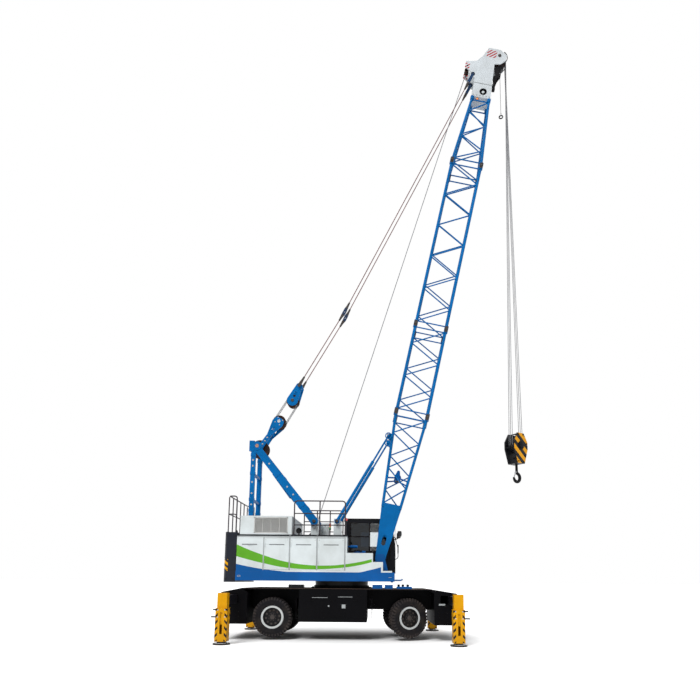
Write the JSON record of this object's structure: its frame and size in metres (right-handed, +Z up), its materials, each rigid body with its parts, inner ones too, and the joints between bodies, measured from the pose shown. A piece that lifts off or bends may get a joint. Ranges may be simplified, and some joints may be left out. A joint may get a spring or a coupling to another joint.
{
  "type": "wheeled lattice boom crane",
  "caption": "Wheeled crane on extended outriggers with a slewing house, cab, gantry, tall lattice boom held by pendants, and a hook block.",
  "frame": {"origin": "on the ground below the slewing axis, midway between the axles", "axes": "+X forward, +Y to the machine's left, +Z up"},
  "size_m": [9.9462, 5.68, 21.5173],
  "materials": {
    "amber": "satin",
    "boom_blue": "satin",
    "carrier_paint": "satin",
    "dark": "satin",
    "deep_blue": "satin",
    "glass": "clear",
    "grille": "satin",
    "hook": "rough",
    "light": "gloss",
    "pale": "satin",
    "pendant": "satin",
    "rail": "satin",
    "seat": "woven",
    "steel": "worn",
    "tyre": "matte",
    "white": "satin"
  },
  "bodies": {
    "carrier": {"carrier_frame": "carrier_paint", "slew_ring": "carrier_paint", "front_axle": "carrier_paint", "rear_axle": "carrier_paint", "deck_fittings": "deep_blue", "tow_jaws": "steel"},
    "beam_front_right": {"beam_front_right": "amber"},
    "jack_front_right": {"jack_front_right": "amber"},
    "wheel_front_right": {"tyre_front_right": "tyre", "rim_front_right": "pale"},
    "beam_front_left": {"beam_front_left": "amber"},
    "jack_front_left": {"jack_front_left": "amber"},
    "wheel_front_left": {"tyre_front_left": "tyre", "rim_front_left": "pale"},
    "beam_rear_right": {"beam_rear_right": "amber"},
    "jack_rear_right": {"jack_rear_right": "amber"},
    "wheel_rear_right": {"tyre_rear_right": "tyre", "rim_rear_right": "pale"},
    "beam_rear_left": {"beam_rear_left": "amber"},
    "jack_rear_left": {"jack_rear_left": "amber"},
    "wheel_rear_left": {"tyre_rear_left": "tyre", "rim_rear_left": "pale"},
    "knuckle_right": {"knuckle_right": "steel"},
    "knuckle_left": {"knuckle_left": "steel"},
    "upperworks": {"turntable_frame": "deep_blue", "counterweight": "dark", "house_shell": "pale", "house_roof": "dark", "cooler_box": "pale", "cooler_grille": "grille", "step_covers": "pale", "power_block": "steel", "winches": "deep_blue", "railings": "rail", "signal_lights": "light", "gantry": "boom_blue", "gantry_sheaves": "steel", "cab_shell": "pale", "cab_glass": "glass", "cab_seat": "seat"},
    "house_door_1": {"house_door_1": "pale"},
    "house_door_2": {"house_door_2": "pale"},
    "house_door_3": {"house_door_3": "pale"},
    "cab_door": {"cab_door": "pale"},
    "backstop_barrel": {"backstop_barrels": "boom_blue"},
    "backstop_rod": {"backstop_rods": "boom_blue"},
    "boom": {"boom_butt": "boom_blue", "boom_insert_1": "boom_blue", "boom_insert_2": "boom_blue", "boom_top": "boom_blue", "boom_head": "white", "head_sheaves": "steel"},
    "bail": {"bail": "boom_blue"},
    "pendants": {"pendants": "pendant"},
    "rope_guide": {"rope_guide": "steel"},
    "hoist_line": {"hoist_line": "steel"},
    "limit_weight": {"limit_weight": "dark", "hoist_falls": "steel"},
    "hook_block": {"hook_block": "amber"},
    "hook": {"hook": "hook"}
  },
  "joints": [
    {"name": "slew", "type": "hinge", "parent": "carrier", "child": "upperworks", "pos_m": [0, 0, 1.78], "axis": [0, 0, 1], "continuous": true},
    {"name": "boom_luff", "type": "hinge", "parent": "upperworks", "child": "boom", "pos_m": [1.26, 0, 2.54], "axis": [0, -1, 0], "range_deg": [-30, 2]},
    {"name": "bail_swing", "type": "hinge", "parent": "upperworks", "child": "bail", "pos_m": [-2.83, 0, 6.17], "axis": [0, -1, 0], "range_deg": [-30.77, 2.52]},
    {"name": "pendant_run", "type": "slide", "parent": "bail", "child": "pendants", "axis": [0.4611, 0, 0.8873], "range_m": [-0.2087, 2.8504]},
    {"name": "backstop_swing", "type": "hinge", "parent": "upperworks", "child": "backstop_barrel", "pos_m": [-0.16, 0, 3.7], "axis": [0, -1, 0], "range_deg": [-29.72, 2.45]},
    {"name": "backstop_stroke", "type": "slide", "parent": "backstop_barrel", "child": "backstop_rod", "axis": [0.5027, 0, 0.8645], "range_m": [-0.0835, 0.9732]},
    {"name": "rope_swing", "type": "hinge", "parent": "upperworks", "child": "rope_guide", "pos_m": [-0.99, 0, 3.25], "axis": [0, -1, 0], "range_deg": [-29.74, 2.45]},
    {"name": "rope_run", "type": "slide", "parent": "rope_guide", "child": "hoist_line", "axis": [0.2932, 0, 0.956], "range_m": [-0.1005, 1.2282]},
    {"name": "hook_hang", "type": "hinge", "parent": "boom", "child": "limit_weight", "pos_m": [5.58472, 0, 21.18835], "axis": [0, -1, 0], "range_deg": [-2.5, 30.5]},
    {"name": "hoist", "type": "slide", "parent": "limit_weight", "child": "hook_block", "axis": [0, 0, -1], "range_m": [-11.4, 4.8], "deforming": ["hoist_falls"]},
    {"name": "hook_swivel", "type": "hinge", "parent": "hook_block", "child": "hook", "pos_m": [5.84472, 0, 5.7], "axis": [0, 0, 1], "continuous": true},
    {"name": "steer_right", "type": "hinge", "parent": "carrier", "child": "knuckle_right", "pos_m": [2.04, -0.9, 0.68], "axis": [0, 0, 1], "range_deg": [-57, 13]},
    {"name": "spin_front_right", "type": "hinge", "parent": "knuckle_right", "child": "wheel_front_right", "pos_m": [2.11492, -1.08544, 0.68], "axis": [-0.3746, 0.9272, 0], "continuous": true},
    {"name": "spin_rear_right", "type": "hinge", "parent": "carrier", "child": "wheel_rear_right", "pos_m": [-2.04, -1.1, 0.68], "axis": [0, 1, 0], "continuous": true},
    {"name": "extend_front_right", "type": "slide", "parent": "carrier", "child": "beam_front_right", "axis": [0, 1, 0], "range_m": [0, 1.05]},
    {"name": "jack_front_right", "type": "slide", "parent": "beam_front_right", "child": "jack_front_right", "axis": [0, 0, 1], "range_m": [0, 0.42]},
    {"name": "extend_rear_right", "type": "slide", "parent": "carrier", "child": "beam_rear_right", "axis": [0, 1, 0], "range_m": [0, 1.05]},
    {"name": "jack_rear_right", "type": "slide", "parent": "beam_rear_right", "child": "jack_rear_right", "axis": [0, 0, 1], "range_m": [0, 0.42]},
    {"name": "steer_left", "type": "hinge", "parent": "carrier", "child": "knuckle_left", "pos_m": [2.04, 0.9, 0.68], "axis": [0, 0, 1], "range_deg": [-57, 13]},
    {"name": "spin_front_left", "type": "hinge", "parent": "knuckle_left", "child": "wheel_front_left", "pos_m": [1.96508, 1.08544, 0.68], "axis": [-0.3746, 0.9272, 0], "continuous": true},
    {"name": "spin_rear_left", "type": "hinge", "parent": "carrier", "child": "wheel_rear_left", "pos_m": [-2.04, 1.1, 0.68], "axis": [0, 1, 0], "continuous": true},
    {"name": "extend_front_left", "type": "slide", "parent": "carrier", "child": "beam_front_left", "axis": [0, -1, 0], "range_m": [0, 1.05]},
    {"name": "jack_front_left", "type": "slide", "parent": "beam_front_left", "child": "jack_front_left", "axis": [0, 0, 1], "range_m": [0, 0.42]},
    {"name": "extend_rear_left", "type": "slide", "parent": "carrier", "child": "beam_rear_left", "axis": [0, -1, 0], "range_m": [0, 1.05]},
    {"name": "jack_rear_left", "type": "slide", "parent": "beam_rear_left", "child": "jack_rear_left", "axis": [0, 0, 1], "range_m": [0, 0.42]},
    {"name": "door_1", "type": "hinge", "parent": "upperworks", "child": "house_door_1", "pos_m": [-2.3055, -1.408, 2.6], "axis": [0, 0, -1], "range_deg": [0, 100]},
    {"name": "door_2", "type": "hinge", "parent": "upperworks", "child": "house_door_2", "pos_m": [-1.5015, -1.408, 2.6], "axis": [0, 0, -1], "range_deg": [0, 100]},
    {"name": "door_3", "type": "hinge", "parent": "upperworks", "child": "house_door_3", "pos_m": [-0.6605, -1.408, 2.6], "axis": [0, 0, -1], "range_deg": [0, 100]},
    {"name": "cab_door_hinge", "type": "hinge", "parent": "upperworks", "child": "cab_door", "pos_m": [0.4965, 1.458, 3], "axis": [0, 0, 1], "range_deg": [0, 80]}
  ],
  "couplings": [
    {"joint": "bail_swing", "follows": "boom_luff", "ratio": 1.0088},
    {"joint": "pendant_run", "follows": "boom_luff", "m_per_rad": -5.4058},
    {"joint": "backstop_swing", "follows": "boom_luff", "ratio": 0.97386},
    {"joint": "backstop_stroke", "follows": "boom_luff", "m_per_rad": -1.8205},
    {"joint": "rope_swing", "follows": "boom_luff", "ratio": 0.97462},
    {"joint": "rope_run", "follows": "boom_luff", "m_per_rad": -2.3075},
    {"joint": "hook_hang", "follows": "boom_luff", "ratio": -1},
    {"joint": "steer_left", "follows": "steer_right", "ratio": 1}
  ]
}
